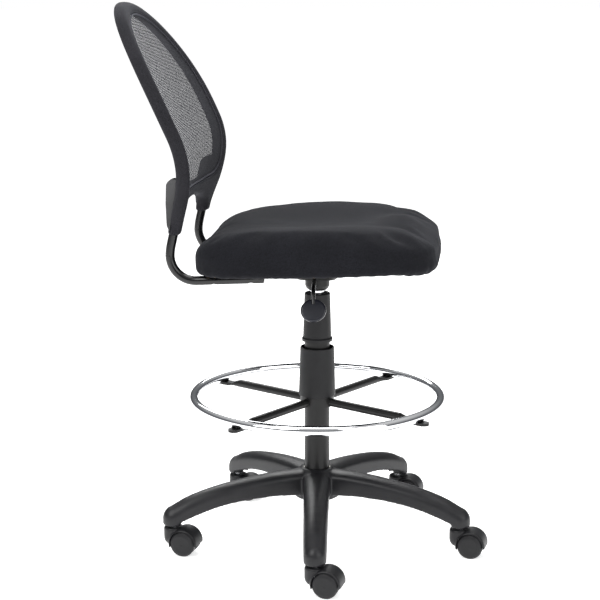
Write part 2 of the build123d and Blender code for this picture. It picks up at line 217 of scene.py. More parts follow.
def moulded_plastic(name, color, roughness, grain=1500.0, relief=0.05 * MM):
    """Moulded plastic: a fine even grain and soft cloudiness."""
    finish = Finish(name, color, roughness, Specular_IOR_Level=0.32)
    cloud = finish.noise(26.0, 4.0)
    finish.paint(
        finish.ramp(cloud, shade(color, 0.86), shade(color, 1.18)),
        finish.between(cloud, roughness - 0.07, roughness + 0.08),
    )
    return finish.bump(finish.noise(grain, 2.0), relief, 0.5).material


def enamel(name, color, roughness, coat):
    """Baked paint over steel: a slight orange peel under a clear gloss."""
    finish = Finish(name, color, roughness, Coat_Weight=coat, Coat_Roughness=0.06, Specular_IOR_Level=0.3)
    finish.paint(None, finish.between(finish.noise(40.0), roughness - 0.04, roughness + 0.06))
    return finish.bump(finish.noise(420.0, 2.0), 0.05 * MM, 0.35).material


def chrome_plate():
    """Bright plating with the faintest haze of wiping."""
    finish = Finish("bright_chrome", (0.86, 0.87, 0.89), 0.06, 1.0)
    haze = finish.noise(9.0, 5.0, finish.stretched((1.0, 1.0, 4.0)))
    return finish.paint(None, finish.between(haze, 0.035, 0.11)).material


def turned_steel(name, color, roughness, direction=(4.0, 4.0, 900.0)):
    """Ground or plated steel with fine marks across its axis."""
    finish = Finish(name, color, roughness, 1.0)
    marks = finish.noise(60.0, 3.0, finish.stretched(direction))
    finish.paint(
        finish.ramp(marks, shade(color, 0.85), color),
        finish.between(marks, roughness - 0.06, roughness + 0.1),
    )
    return finish.bump(marks, 0.02 * MM, 0.4).material


def knitted_cloth(name, color, loop, sheen, relief=0.22 * MM):
    """Knitted or woven cover: rows of small loops with their tops painted lighter and the gaps between them
    painted darker as shade, a soft nap, and slow random variation of tone.
    """
    finish = Finish(name, color, 0.92, Sheen_Weight=sheen, Sheen_Roughness=0.45, Specular_IOR_Level=0.15)
    finish.shader.inputs["Sheen Tint"].default_value = (*shade((0.85, 0.88, 1.0), 0.6), 1.0)
    rows = finish.cells(1.0 / loop, finish.stretched((1.0, 0.78, 0.9)))
    cloud = finish.noise(14.0, 4.0)
    # Painted light and shade: loop tops, high in the bump, are painted lighter and the low gaps between loops
    # painted darker.
    thread = finish.ramp(rows, shade(color, 1.45), shade(color, 0.45), 0.12, 0.75)
    drift = finish.ramp(cloud, (0.84, 0.84, 0.84), (1.18, 1.18, 1.18))
    mixed = finish.node(
        "ShaderNodeMix", {0: 1.0, 6: thread, 7: drift}, data_type="RGBA", blend_type="MULTIPLY"
    )
    height = finish.sum(finish.sum(rows, -1.0, "MULTIPLY"), finish.sum(cloud, 0.4, "MULTIPLY"))
    return finish.paint(mixed.outputs[2]).bump(height, relief, 0.8).material


def plywood():
    """Birch plywood: long grain with darker figure."""
    finish = Finish("plywood", (0.5, 0.36, 0.2), 0.6)
    grain = finish.noise(9.0, 6.0, finish.stretched((18.0, 1.2, 60.0)))
    finish.paint(finish.ramp(grain, (0.36, 0.23, 0.12), (0.6, 0.45, 0.27)))
    return finish.bump(grain, 0.1 * MM, 0.4).material


# Slot of the record -> the material that shows it.
MATERIALS = {}


def make_materials(settings):
    nylon = tuple(settings.nylon_color)
    rim = tuple(settings.rim_color)
    MATERIALS.update({
        "base_nylon": moulded_plastic("base_nylon", nylon, 0.40),
        "caster_plastic": moulded_plastic("caster_plastic", shade(nylon, 0.8), 0.42),
        "wheel_plastic": moulded_plastic("wheel_plastic", shade(nylon, 0.7), 0.42),
        "sleeve_plastic": moulded_plastic("sleeve_plastic", shade(nylon, 0.62), 0.5),
        "cover_plastic": moulded_plastic("cover_plastic", (0.036, 0.036, 0.038), 0.5),
        "paddle_plastic": moulded_plastic("paddle_plastic", (0.012, 0.013, 0.018), 0.2, 300.0, 0.02 * MM),
        "frame_plastic": moulded_plastic("frame_plastic", (0.02, 0.02, 0.02), 0.5),
        "bush_plastic": moulded_plastic("bush_plastic", (0.55, 0.55, 0.52), 0.4),
        "black_rubber": moulded_plastic("black_rubber", (0.012, 0.012, 0.012), 0.75, 900.0),
        "black_paint": enamel("black_paint", (0.004, 0.004, 0.0043), 0.2, 0.3),
        "column_paint": enamel("column_paint", (0.0055, 0.0055, 0.0055), 0.4, 0.04),
        "bright_chrome": chrome_plate(),
        "spring_steel": turned_steel("spring_steel", (0.55, 0.56, 0.58), 0.24),
        "zinc_steel": turned_steel("zinc_steel", (0.62, 0.61, 0.56), 0.33),
        "plywood": plywood(),
        "seat_fabric": knitted_cloth("seat_fabric", tuple(settings.seat_color), 0.0011, 0.05),
        "rim_fabric": knitted_cloth("rim_fabric", rim, 0.0009, 0.10),
        "back_net": knitted_cloth("back_net", tuple(settings.net_color), 0.0006, 0.12, 0.1 * MM),
        "dust_cloth": knitted_cloth("dust_cloth", (0.012, 0.012, 0.012), 0.0016, 0.1),
        # The seam thread is 2.2 times the sleeve's colour: a painted highlight for the light line along the
        # net's edge.
        "seam_thread": knitted_cloth("seam_thread", shade(rim, 2.2), 0.0005, 0.4, 0.1 * MM),
    })


def finish_node(name):
    """Give a CAD node the material of its slot in the record."""
    slots = {row["node"]: row["material_slot"] for row in frame["record"]["subparts"]}
    mesh = frame["nodes"][name].data
    mesh.materials.clear()
    mesh.materials.append(MATERIALS[slots[name]])


# ------------------------------------------------------------------ shapes that several pieces share
def new_piece(name, vertices, faces, material=None, smooth=True):
    """A mesh object in the scene, its normals outward."""
    mesh = bpy.data.meshes.new(name)
    mesh.from_pydata([tuple(point) for point in vertices], [], faces)
    return show_mesh(name, mesh, material, smooth)


def show_mesh(name, mesh, material=None, smooth=True):
    if material:
        mesh.materials.clear()
        mesh.materials.append(MATERIALS[material])
    mesh.polygons.foreach_set("use_smooth", [smooth] * len(mesh.polygons))
    mesh.update()
    piece = bpy.data.objects.new(name, mesh)
    bpy.context.scene.collection.objects.link(piece)
    return piece


def face_outward(mesh):
    shape = bmesh.new()
    shape.from_mesh(mesh)
    bmesh.ops.remove_doubles(shape, verts=shape.verts, dist=0.02 * MM)
    bmesh.ops.recalc_face_normals(shape, faces=shape.faces)
    shape.to_mesh(mesh)
    shape.free()


def applied(piece):
    """The piece's mesh with its modifiers worked in, and the modifiers gone."""
    bpy.context.view_layer.update()
    mesh = bpy.data.meshes.new_from_object(piece.evaluated_get(bpy.context.evaluated_depsgraph_get()))
    piece.modifiers.clear()
    piece.data = mesh
    return piece


def remeshed(piece, voxel):
    modifier = piece.modifiers.new("remesh", "REMESH")
    modifier.mode = "VOXEL"
    modifier.voxel_size = voxel
    modifier.use_smooth_shade = True
    return applied(piece)


def relaxed(piece, factor, repeats):
    modifier = piece.modifiers.new("relax", "SMOOTH")
    modifier.factor = factor
    modifier.iterations = repeats
    return applied(piece)


def moved_points(mesh, mover):
    """Move each vertex of a new piece's mesh to where mover puts it."""
    for vertex in mesh.vertices:
        vertex.co = mover(vertex.co)
    mesh.update()


def rounded_loop(corners, radii, steps=10):
    """A closed loop through straight sides whose corners are arcs of the given radii."""
    loop = []
    corners = [Vector(corner) for corner in corners]
    for index, corner in enumerate(corners):
        into = (corner - corners[index - 1]).normalized()
        out = (corners[(index + 1) % len(corners)] - corner).normalized()
        turn = into.angle(out)
        reach = radii[index] * math.tan(turn / 2)
        side = (out - into).normalized()
        centre = corner + side * math.hypot(radii[index], reach)
        first, last = corner - into * reach - centre, corner + out * reach - centre
        for step in range(steps + 1):
            share = step / steps
            spoke = first * math.sin(turn * (1 - share)) + last * math.sin(turn * share)
            loop.append(centre + spoke / math.sin(turn))
    return loop


def smooth_path(points, first_slope, last_slope, steps):
    """Points along a smooth curve through the given ones, leaving and arriving in set directions."""
    points = [Vector(point) for point in points]
    slopes = [Vector(first_slope)]
    for before, after in zip(points, points[2:]):
        slopes.append((after - before).normalized())
    slopes.append(Vector(last_slope))
    made = []
    for start, end, leave, arrive in zip(points, points[1:], slopes, slopes[1:]):
        chord = (end - start).length
        for step in range(steps):
            t = step / steps
            made.append(
                start * (2 * t**3 - 3 * t**2 + 1) + leave * chord * (t**3 - 2 * t**2 + t)
                + end * (3 * t**2 - 2 * t**3) + arrive * chord * (t**3 - t**2)
            )
    return made + [points[-1]]


def with_mirror(half):
    """A closed loop from its right half, which runs from the top centre down to the bottom centre."""
    return half + [Vector((-point.x, point.y)) for point in reversed(half[1:-1])]


def crown(half_width, rise, steps=34):
    """Right half of the oval's top in front view, from the top centre down to its widest place."""
    angles = [math.pi / 2 * (1 - step / steps) for step in range(steps)]
    return [Vector((half_width * math.cos(a), 0.860 + rise * math.sin(a))) for a in angles]


def back_outline():
    """Front view of the oval with its two legs, as a loop of (X, Z)."""
    side = smooth_path(
        [(0.235, 0.860), (0.227, 0.780), (0.194, 0.706), (0.169, 0.660), (0.168, LEG_BOTTOM)],
        (0, -1), (0, -1), 10,
    )
    arch = smooth_path(
        [(0.142, LEG_BOTTOM), (0.128, 0.668), (0.084, 0.684), (0.0, 0.690)], (0, 1), (-1, 0), 10
    )
    return with_mirror(crown(0.235, 0.205) + side + arch)


def back_opening():
    """Front view of the opening that the net fills, as a loop of (X, Z)."""
    side = smooth_path(
        [(0.211, 0.860), (0.204, 0.785), (0.171, 0.732), (0.100, 0.719), (0.0, 0.717)], (0, -1), (-1, 0), 10
    )
    return with_mirror(crown(0.211, 0.181) + side)


def spread_loop(loop, distance):
    """The loop moved outward by a distance, or inward where it is negative. The loop runs clockwise."""
    made = []
    for index, point in enumerate(loop):
        along = (loop[(index + 1) % len(loop)] - loop[index - 1]).normalized()
        made.append(point + Vector((-along.y, along.x)) * distance)
    return made


def on_back(x, height, depth):
    """A point of the curved back: in front view at (x, height), and depth behind its front face."""
    waist_y, waist_z = BACK_WAIST
    low, high = BACK_LOW_ANGLE, BACK_HIGH_ANGLE
    reach = WAIST_RADIUS * math.tan((high - low) / 2)
    centre_y = waist_y + WAIST_RADIUS * math.cos(low) - reach * math.sin(low)
    centre_z = waist_z - WAIST_RADIUS * math.sin(low) - reach * math.cos(low)
    radius = WAIST_RADIUS - depth
    if height < centre_z + radius * math.sin(low):
        y = waist_y + (height - waist_z) * math.tan(low) + depth / math.cos(low)
    elif height > centre_z + radius * math.sin(high):
        y = waist_y + (height - waist_z) * math.tan(high) + depth / math.cos(high)
    else:
        y = centre_y - math.sqrt(radius**2 - (height - centre_z) ** 2)
    return Vector((x, math.sqrt((y - BACK_AXIS_Y) ** 2 - x * x) + BACK_AXIS_Y, height))


def on_seat(x, y, level):
    """A point of the tilted seat: level is above the underside of its board."""
    tilt_cos, tilt_sin = math.cos(SEAT_TILT), math.sin(SEAT_TILT)
    return Vector((x, y * tilt_cos + level * tilt_sin, SEAT_HEIGHT - y * tilt_sin + level * tilt_cos))


def from_seat(point):
    """The seat's own x, y and level of a point."""
    tilt_cos, tilt_sin = math.cos(SEAT_TILT), math.sin(SEAT_TILT)
    rise = point.z - SEAT_HEIGHT
    return Vector((point.x, point.y * tilt_cos - rise * tilt_sin, point.y * tilt_sin + rise * tilt_cos))


# ------------------------------------------------------------------ Geometry Nodes
def add_node(tree, kind, inputs=(), **settings):
    made = tree.nodes.new(kind)
    for name, value in settings.items():
        setattr(made, name, value)
    for socket, value in dict(inputs).items():
        if isinstance(value, bpy.types.NodeSocket):
            tree.links.new(value, made.inputs[socket])
        else:
            made.inputs[socket].default_value = value
    return made


class Group:
    """A Geometry Nodes group being built, with its inputs by name."""

    def __init__(self, name, **kinds):
        self.tree = bpy.data.node_groups.new(name, "GeometryNodeTree")
        self.tree.interface.new_socket("Geometry", in_out="INPUT", socket_type="NodeSocketGeometry")
        self.identifiers = {}
        for label, kind in kinds.items():
            made = self.tree.interface.new_socket(label, in_out="INPUT", socket_type="NodeSocket" + kind)
            self.identifiers[label] = made.identifier
        self.tree.interface.new_socket("Geometry", in_out="OUTPUT", socket_type="NodeSocketGeometry")
        self.given = self.tree.nodes.new("NodeGroupInput").outputs

    def add(self, kind, inputs=(), **settings):
        return add_node(self.tree, kind, inputs, **settings)

    def end(self, geometry):
        """Close the group: real geometry in the given material goes out."""
        real = self.add("GeometryNodeRealizeInstances", {"Geometry": geometry}).outputs[0]
        painted = self.add("GeometryNodeSetMaterial", {"Geometry": real, "Material": self.given["Material"]})
        self.add("NodeGroupOutput", {0: painted.outputs[0]})
        return self

    def run(self, piece, **values):
        """Work the group into a piece's mesh, with its inputs set."""
        modifier = piece.modifiers.new(self.tree.name, "NODES")
        modifier.node_group = self.tree
        for label, value in values.items():
            modifier[self.identifiers[label]] = value
        return applied(piece)


def perforating_group():
    """Opens a hole in each face of a sheet, of a set share of the face's width."""
    group = Group("perforate", Share="Float", Material="Material")
    split = group.add(
        "GeometryNodeExtrudeMesh", {"Mesh": group.given["Geometry"], "Offset Scale": 0.0, "Individual": True}
    )
    shrunk = group.add(
        "GeometryNodeScaleElements",
        {"Geometry": split.outputs["Mesh"], "Selection": split.outputs["Top"], "Scale": group.given["Share"]},
        domain="FACE",
    )
    opened = group.add(
        "GeometryNodeDeleteGeometry",
        {"Geometry": shrunk.outputs["Geometry"], "Selection": split.outputs["Top"]},
        domain="FACE",
    )
    return group.end(opened.outputs["Geometry"])


def repeating_group():
    """Sets copies of a part at even spacing along a path of edges, each a little out of line."""
    group = Group("repeat", Part="Object", Spacing="Float", Waver="Float", Seed="Int", Material="Material")
    path = group.add("GeometryNodeMeshToCurve", {"Mesh": group.given["Geometry"]}).outputs[0]
    places = group.add(
        "GeometryNodeCurveToPoints", {"Curve": path, "Length": group.given["Spacing"]}, mode="LENGTH"
    )
    spread = group.add(
        "ShaderNodeVectorMath", {0: (0.4, 0.4, 1.0), "Scale": group.given["Waver"]}, operation="SCALE"
    )
    back = group.add("ShaderNodeVectorMath", {0: spread.outputs[0], "Scale": -1.0}, operation="SCALE")
    waver = group.add(
        "FunctionNodeRandomValue",
        {"Min": back.outputs[0], "Max": spread.outputs[0], "Seed": group.given["Seed"]},
        data_type="FLOAT_VECTOR",
    )
    turned = group.add(
        "FunctionNodeRotateRotation",
        {"Rotation": places.outputs["Rotation"], "Rotate By": waver.outputs[0]},
        rotation_space="LOCAL",
    )
    part = group.add("GeometryNodeObjectInfo", {"Object": group.given["Part"]}).outputs["Geometry"]
    copies = group.add(
        "GeometryNodeInstanceOnPoints",
        {"Points": places.outputs["Points"], "Instance": part, "Rotation": turned.outputs[0]},
    )
    return group.end(copies.outputs[0])


def capsule(name, length, thickness):
    """A thread or wire of rounded ends along its own Z, to be repeated."""
    rings = [
        (-0.5, 0.02), (-0.47, 0.55), (-0.38, 0.9), (-0.2, 1.0),
        (0.2, 1.0), (0.38, 0.9), (0.47, 0.55), (0.5, 0.02),
    ]
    count = 8
    vertices = [
        Vector((
            math.cos(2 * math.pi * k / count) * thickness / 2 * share,
            math.sin(2 * math.pi * k / count) * thickness / 2 * share,
            length * place,
        ))
        for place, share in rings
        for k in range(count)
    ]
    faces = [
        (
            row * count + k, row * count + (k + 1) % count,
            (row + 1) * count + (k + 1) % count, (row + 1) * count + k,
        )
        for row in range(len(rings) - 1)
        for k in range(count)
    ]
    faces += [tuple(reversed(range(count))), tuple(range(count * (len(rings) - 1), count * len(rings)))]
    return new_piece(name, vertices, faces)


def repeat_along(name, loop, part, spacing, waver, seed, material):
    """One mesh of copies of a part along a closed loop."""
    mesh = bpy.data.meshes.new(name)
    edges = [(k, (k + 1) % len(loop)) for k in range(len(loop))]
    mesh.from_pydata([tuple(point) for point in loop], edges, [])
    piece = bpy.data.objects.new(name, mesh)
    bpy.context.scene.collection.objects.link(piece)
    repeating_group().run(
        piece, Part=part, Spacing=spacing, Waver=waver, Seed=seed, Material=MATERIALS[material]
    )
    piece.data.polygons.foreach_set("use_smooth", [True] * len(piece.data.polygons))
    bpy.data.objects.remove(part)
    return piece


def tube_along(name, loop, thickness, material):
    """A closed round cord sewn along a loop."""
    curve = bpy.data.curves.new(name, "CURVE")
    curve.dimensions = "3D"
    curve.bevel_depth = thickness / 2
    curve.bevel_resolution = 3
    spline = curve.splines.new("POLY")
    spline.points.add(len(loop) - 1)
    for point, place in zip(spline.points, loop):
        point.co = (*place, 1.0)
    spline.use_cyclic_u = True
    holder = bpy.data.objects.new(name + "_path", curve)
    bpy.context.scene.collection.objects.link(holder)
    bpy.context.view_layer.update()
    mesh = bpy.data.meshes.new_from_object(holder.evaluated_get(bpy.context.evaluated_depsgraph_get()))
    bpy.data.objects.remove(holder)
    return show_mesh(name, mesh, material)


# ------------------------------------------------------------------ seat
def level_along(y, table):
    """A smooth value along the seat from a table of (y, value) rows, y rising, in millimetres."""
    rows = [Vector(row) for row in table]
    y = min(max(y / MM, rows[0].x), rows[-1].x)
    for index in range(len(rows) - 1):
        before, start, end = rows[max(index - 1, 0)], rows[index], rows[index + 1]
        after = rows[min(index + 2, len(rows) - 1)]
        if y <= end.x:
            span = end.x - start.x
            t = (y - start.x) / span
            leave = (end.y - before.y) / (end.x - before.x) * span
            arrive = (after.y - start.y) / (after.x - start.x) * span
            return MM * (
                start.y * (2 * t**3 - 3 * t**2 + 1) + leave * (t**3 - 2 * t**2 + t)
                + end.y * (3 * t**2 - 2 * t**3) + arrive * (t**3 - t**2)
            )
    return rows[-1].y * MM


def ease(t):
    t = min(max(t, 0.0), 1.0)
    return t * t * (3 - 2 * t)


# The seat's top in millimetres along Y: the ridge near each side, how far out it runs, the hollow between.
RIDGE_LEVEL = [
    (-252, 44), (-215, 57), (-180, 65), (-150, 69), (-100, 75),
    (-45, 79), (60, 80), (139, 76), (184, 71), (230, 63),
]
RIDGE_PLACE = [(-252, 118), (-190, 134), (-140, 146), (-60, 176), (40, 184), (140, 178), (230, 150)]
HOLLOW_DEPTH = [
    (-252, 0), (-215, 1), (-170, 5), (-110, 13), (-50, 19), (30, 20), (110, 14), (180, 6), (230, 0),
]
DEEPEST_HOLLOW = 20 * MM
COVER_ROUNDING = 0.85  # below 1, the seat's edge is fuller than a quarter circle


def swell_at(offset, width):
    """A smooth bump, 1 where offset is 0 and dying out over width."""
    return math.exp(-((offset / width) ** 2))


def seat_top(x, y, dish):
    """Level of the seat's top: a hollow between two side ridges, and a raised front centre."""
    ridge, place = level_along(y, RIDGE_LEVEL), level_along(y, RIDGE_PLACE)
    hollow = level_along(y, HOLLOW_DEPTH) * dish / DEEPEST_HOLLOW
    across = abs(x) / place
    level = ridge - hollow * (1 - ease(across)) - 0.9 * max(abs(x) - place, 0.0) ** 2
    pommel = 13 * MM * swell_at(x, 52 * MM) * swell_at(y + 160 * MM, 40 * MM)
    trough = 3.5 * MM * swell_at(abs(x) - 84 * MM, 34 * MM) * swell_at(y + 170 * MM, 60 * MM)
    return level + pommel - trough


def seat_bottom(y):
    """Level of the seat's underside, which drops a little below the board at the front."""
    return -0.011 * ease((-y - 0.150) / 0.075)


def seat_form(settings):
    """The cushion before its cover is blown out, as rings from its top round to its underside."""
    corners = [(0, -0.251), (0.241, -0.243), (0.247, 0.015), (0.206, 0.228)]
    corners += [(0, 0.230)] + [(-x, y) for x, y in reversed(corners[1:])]
    plan = rounded_loop(corners, [1.2, 0.118, 0.52, 0.095, 1.5, 0.095, 0.52, 0.118])
    shrink, edge, lip, middle = 4 * MM, 46 * MM, 26 * MM, 31 * MM
    spokes, rings = [], []
    for place in plan:
        if not spokes or (place - spokes[-1]).length > 5 * MM:
            spokes.append(place)
    for step in range(1, 21):
        rings.append([("top", step / 20)] * len(spokes))
    rings += [[("edge", step / 12)] * len(spokes) for step in range(1, 13)]
    rings += [[("lip", step / 8)] * len(spokes) for step in range(1, 9)]
    rings += [[("under", step / 6)] * len(spokes) for step in range(1, 6)]
    vertices, faces = [on_seat(0, 0, seat_top(0, 0, settings.dish) - shrink)], []
    for ring in rings:
        for place, (part, share) in zip(spokes, ring):
            reach = place.length - shrink
            if part == "top":
                out = (reach - edge) * share
            elif part == "edge":
                out = reach - edge * (1 - math.sin(share * math.pi / 2) ** COVER_ROUNDING)
            elif part == "lip":
                out = reach - lip * (1 - math.cos(share * math.pi / 2) ** COVER_ROUNDING)
            else:
                out = (reach - lip) * (1 - share)
            point = place.normalized() * out
            top = seat_top(point.x, point.y, settings.dish) - shrink
            bottom = seat_bottom(point.y) - 1.2 * MM
            if part == "top":
                level = top
            elif part == "edge":
                level = middle + (top - middle) * math.cos(share * math.pi / 2) ** COVER_ROUNDING
            elif part == "lip":
                level = middle + (bottom - middle) * math.sin(share * math.pi / 2) ** COVER_ROUNDING
            else:
                level = bottom
            vertices.append(on_seat(point.x, point.y, level))
    vertices.append(on_seat(0, 0, seat_bottom(0) + 2 * MM))
    count = len(spokes)
    for k in range(count):
        nxt = (k + 1) % count
        faces.append((0, 1 + k, 1 + nxt))
        for row in range(len(rings) - 1):
            start = 1 + row * count
            faces.append((start + k, start + count + k, start + count + nxt, start + nxt))
        start = 1 + (len(rings) - 1) * count
        faces.append((start + k, len(vertices) - 1, start + nxt))
    piece = new_piece("seat_upholstery", vertices, faces)
    face_outward(piece.data)
    return piece


CLOTH_FRAMES = 20


def blow_out(piece, settings):
    """Swell a cover on its foam with a cloth simulation; its stapled underside stays where it is."""
    scene = bpy.context.scene
    start = [vertex.co.copy() for vertex in piece.data.vertices]
    held = piece.vertex_groups.new(name="stapled")
    for vertex in piece.data.vertices:
        level = from_seat(vertex.co).z
        hold = 1 - ease((level - 0.002) / 0.010)
        if hold > 0:
            held.add([vertex.index], hold, "REPLACE")
    cloth = piece.modifiers.new("cover", "CLOTH")
    cloth.settings.quality = 5
    cloth.settings.mass = 0.25
    cloth.settings.tension_stiffness = cloth.settings.compression_stiffness = 18
    cloth.settings.shear_stiffness = 8
    cloth.settings.bending_stiffness = 0.6
    cloth.settings.use_pressure = True
    cloth.settings.uniform_pressure_force = settings.pressure
    cloth.settings.shrink_min = 0.008
    cloth.settings.vertex_group_mass = held.name
    cloth.settings.effector_weights.gravity = 0
    cloth.point_cache.frame_start, cloth.point_cache.frame_end = 1, CLOTH_FRAMES
    for step in range(1, CLOTH_FRAMES + 1):
        scene.frame_set(step)
    applied(piece)
    scene.frame_set(1)
    for vertex, place in zip(piece.data.vertices, start):
        shift = vertex.co - place
        if shift.length > settings.swell:
            vertex.co = place + shift.normalized() * settings.swell
    piece.vertex_groups.clear()
    return relaxed(piece, 0.5, 9)


def gather_cover(point, normal):
    """Small pleats where the cover is pulled over the lower edge, deepest round the front corners."""
    place = from_seat(point)
    low = 1 - ease((place.z + 0.006) / 0.026)
    angle = math.atan2(place.x, -place.y)
    wave = math.sin(angle * 61 + 2.2 * math.sin(angle * 7)) + 0.6 * math.sin(angle * 107 + 1.3)
    corner = 0.45 + 0.55 * abs(math.sin(2 * angle))
    return point + normal * (0.8 * MM * low * wave * corner)


def make_seat(settings):
    """The padded seat: hollowed foam in a knitted cover that is gathered below the board's edge."""
    piece = remeshed(seat_form(settings), settings.voxel)
    blow_out(piece, settings)
    normals = [vertex.normal.copy() for vertex in piece.data.vertices]
    for vertex, normal in zip(piece.data.vertices, normals):
        vertex.co = gather_cover(vertex.co, normal)
    modifier = piece.modifiers.new("smoother", "SUBSURF")
    modifier.levels = modifier.render_levels = 1
    applied(piece)
    piece.name = piece.data.name = "seat_upholstery"
    show_finish(piece, "seat_fabric")
    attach(piece, "seat")
    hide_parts("seat_cushion")
    return piece


def show_finish(piece, material):
    piece.data.materials.clear()
    piece.data.materials.append(MATERIALS[material])
    piece.data.polygons.foreach_set("use_smooth", [True] * len(piece.data.polygons))
    piece.data.update()


def make_staples(seed=4):
    """Steel staples round the edge of the dark cloth below the seat."""
    low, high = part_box("dust_cover")
    half, front, rear = high.x - 0.012, low.y + 0.012, high.y - 0.012
    narrow = half * 0.82
    loop = rounded_loop([(-half, front), (half, front), (narrow, rear), (-narrow, rear)], [0.07] * 4)
    points = [on_seat(point.x, point.y, -2.2 * MM) for point in loop]
    part = capsule("staple_wire", 11 * MM, 0.9 * MM)
    piece = repeat_along("dust_cover_staples", points, part, 34 * MM, 0.12, seed, "zinc_steel")
    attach(piece, "seat")
    return piece


# ------------------------------------------------------------------ back
def flat_solid(name, loops, thickness, rounding):
    """A flat plate between loops of (X, Y), its edges rounded, lying from Z 0 to its thickness."""
    curve = bpy.data.curves.new(name, "CURVE")
    curve.dimensions = "2D"
    curve.fill_mode = "BOTH"
    curve.extrude = thickness / 2 - rounding
    curve.bevel_depth = rounding
    curve.bevel_resolution = 5
    curve.offset = -rounding
    for loop in loops:
        spline = curve.splines.new("POLY")
        spline.points.add(len(loop) - 1)
        for point, place in zip(spline.points, loop):
            point.co = (place.x, place.y, 0.0, 1.0)
        spline.use_cyclic_u = True
    holder = bpy.data.objects.new(name + "_flat", curve)
    bpy.context.scene.collection.objects.link(holder)
    bpy.context.view_layer.update()
    mesh = bpy.data.meshes.new_from_object(holder.evaluated_get(bpy.context.evaluated_depsgraph_get()))
    bpy.data.objects.remove(holder)
    moved_points(mesh, lambda point: Vector((point.x, point.y, point.z + thickness / 2)))
    piece = show_mesh(name, mesh)
    face_outward(piece.data)
    return piece


def make_rim():
    """The cloth sleeve over the back's frame: a soft round band with two legs."""
    piece = flat_solid("back_sleeve", [back_outline(), back_opening()], BACK_THICKNESS, 9.5 * MM)
    remeshed(piece, 2.6 * MM)
    relaxed(piece, 0.5, 4)
    moved_points(piece.data, lambda point: on_back(point.x, point.y, point.z))
    face_outward(piece.data)
    show_finish(piece, "rim_fabric")
    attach(piece, "seat")
    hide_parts("back_rim_cover", "back_frame")
    return piece


def honeycomb(pitch, loop):
    """Six-sided cells over the inside of a loop: shared vertices (X, Z) and faces."""
    rise = pitch * math.sqrt(3) / 2
    lows = [min(point[k] for point in loop) for k in (0, 1)]
    highs = [max(point[k] for point in loop) for k in (0, 1)]
    vertices, index, faces = [], {}, []

    def inside(x, z):
        odd = False
        for a, b in zip(loop, loop[1:] + loop[:1]):
            if (a.y > z) != (b.y > z) and x < a.x + (z - a.y) / (b.y - a.y) * (b.x - a.x):
                odd = not odd
        return odd

    def corner(x, z):
        key = (round(x / pitch * 12), round(z / pitch * 12))
        if key not in index:
            index[key] = len(vertices)
            vertices.append((x, z))
        return index[key]

    size = pitch / math.sqrt(3)
    for row in range(int((highs[1] - lows[1]) / rise) + 2):
        z = lows[1] + row * rise
        for column in range(int((highs[0] - lows[0]) / pitch) + 2):
            x = lows[0] + (column + 0.5 * (row % 2)) * pitch
            if inside(x, z):
                turns = [math.radians(30 + 60 * k) for k in range(6)]
                faces.append(tuple(corner(x + size * math.cos(a), z + size * math.sin(a)) for a in turns))
    return vertices, faces


def make_net(settings):
    """The net stretched across the back's opening, one layer thick, its holes open."""
    flat, faces = honeycomb(settings.net_pitch, spread_loop(back_opening(), 4 * MM))
    piece = new_piece("back_net", [on_back(x, z, 4.2 * MM) for x, z in flat], faces, "back_net")
    face_outward(piece.data)
    perforating_group().run(piece, Share=settings.hole_share, Material=MATERIALS["back_net"])
    piece.name = piece.data.name = "back_net"
    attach(piece, "seat")
    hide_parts("back_mesh")
    return piece


def sleeve_loop(rim, spread, depth, lift):
    """The opening's loop laid on the sleeve's surface, from the front or the rear."""
    surface = BVHTree.FromObject(rim, bpy.context.evaluated_depsgraph_get())
    made = []
    for point in spread_loop(back_opening(), spread):
        place, normal, _, _ = surface.find_nearest(on_back(point.x, point.y, depth))
        made.append(place + normal * lift)
    return made


def make_seams(settings, rim):
    """The piping where the net is sewn in, and the rows of stitches that hold it."""
    edge = [on_back(point.x, point.y, 2.6 * MM) for point in spread_loop(back_opening(), 0.9 * MM)]
    made = [tube_along("net_piping", edge, 3.0 * MM, "seam_thread")]
    rows = [("front_stitches", 5.2 * MM, 0.0, 11), ("rear_stitches", 6.5 * MM, BACK_THICKNESS, 12)]
    for name, spread, depth, seed in rows:
        loop = sleeve_loop(rim, spread, depth, 0.05 * MM)
        part = capsule("stitch_thread", settings.stitch_length * 0.8, 0.85 * MM)
        made.append(repeat_along(name, loop, part, settings.stitch_length, 0.10, seed, "seam_thread"))
    for piece in made:
        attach(piece, "seat")
    return made


# ------------------------------------------------------------------ base and casters
BASE_TURN = math.radians(184.85)  # direction of the first arm
STEM_RADIUS = 0.295
WHEEL_HEIGHT = 0.025
CASTER_TRAIL = 0.0245
CASTER_HEADING = math.radians(259.2)

# One arm in millimetres: distance out, half width, height of the crown, depth of its rounding, underside.
ARM_STATIONS = [
    (10, 27.0, 147.0, 13, 97), (40, 26.6, 146.8, 13, 99), (66, 26.0, 146.0, 13, 101),
    (95, 25.3, 144.0, 14, 101.5), (119, 24.8, 141.5, 14, 101), (140, 24.4, 139.0, 15, 100),
    (160, 24.0, 136.0, 16, 98), (186, 23.5, 131.8, 17, 94.5), (211, 23.1, 126.8, 18, 89.5),
    (236, 22.7, 120.6, 19, 82.5), (256, 22.4, 114.5, 20, 76), (272, 22.0, 108.5, 21, 70),
    (288, 21.6, 100.4, 22, 64), (300, 20.6, 94.5, 22, 62),
]
RIB_STATIONS = [(95, 102), (135, 101), (175, 97), (215, 89)]  # distance out and lower edge of each rib
ARM_WALL = 5.5
HUB_PROFILE = [
    (0, 90), (45, 90), (46, 91.5), (45, 112), (40, 132), (34.5, 145), (31.5, 149), (29.5, 150), (0, 150),
]
NOSE_PROFILE = [
    (0, 19), (9, 19), (14, 21), (17.4, 25), (19.2, 31), (19.4, 38), (19.4, 51), (18, 54), (0, 54),
]


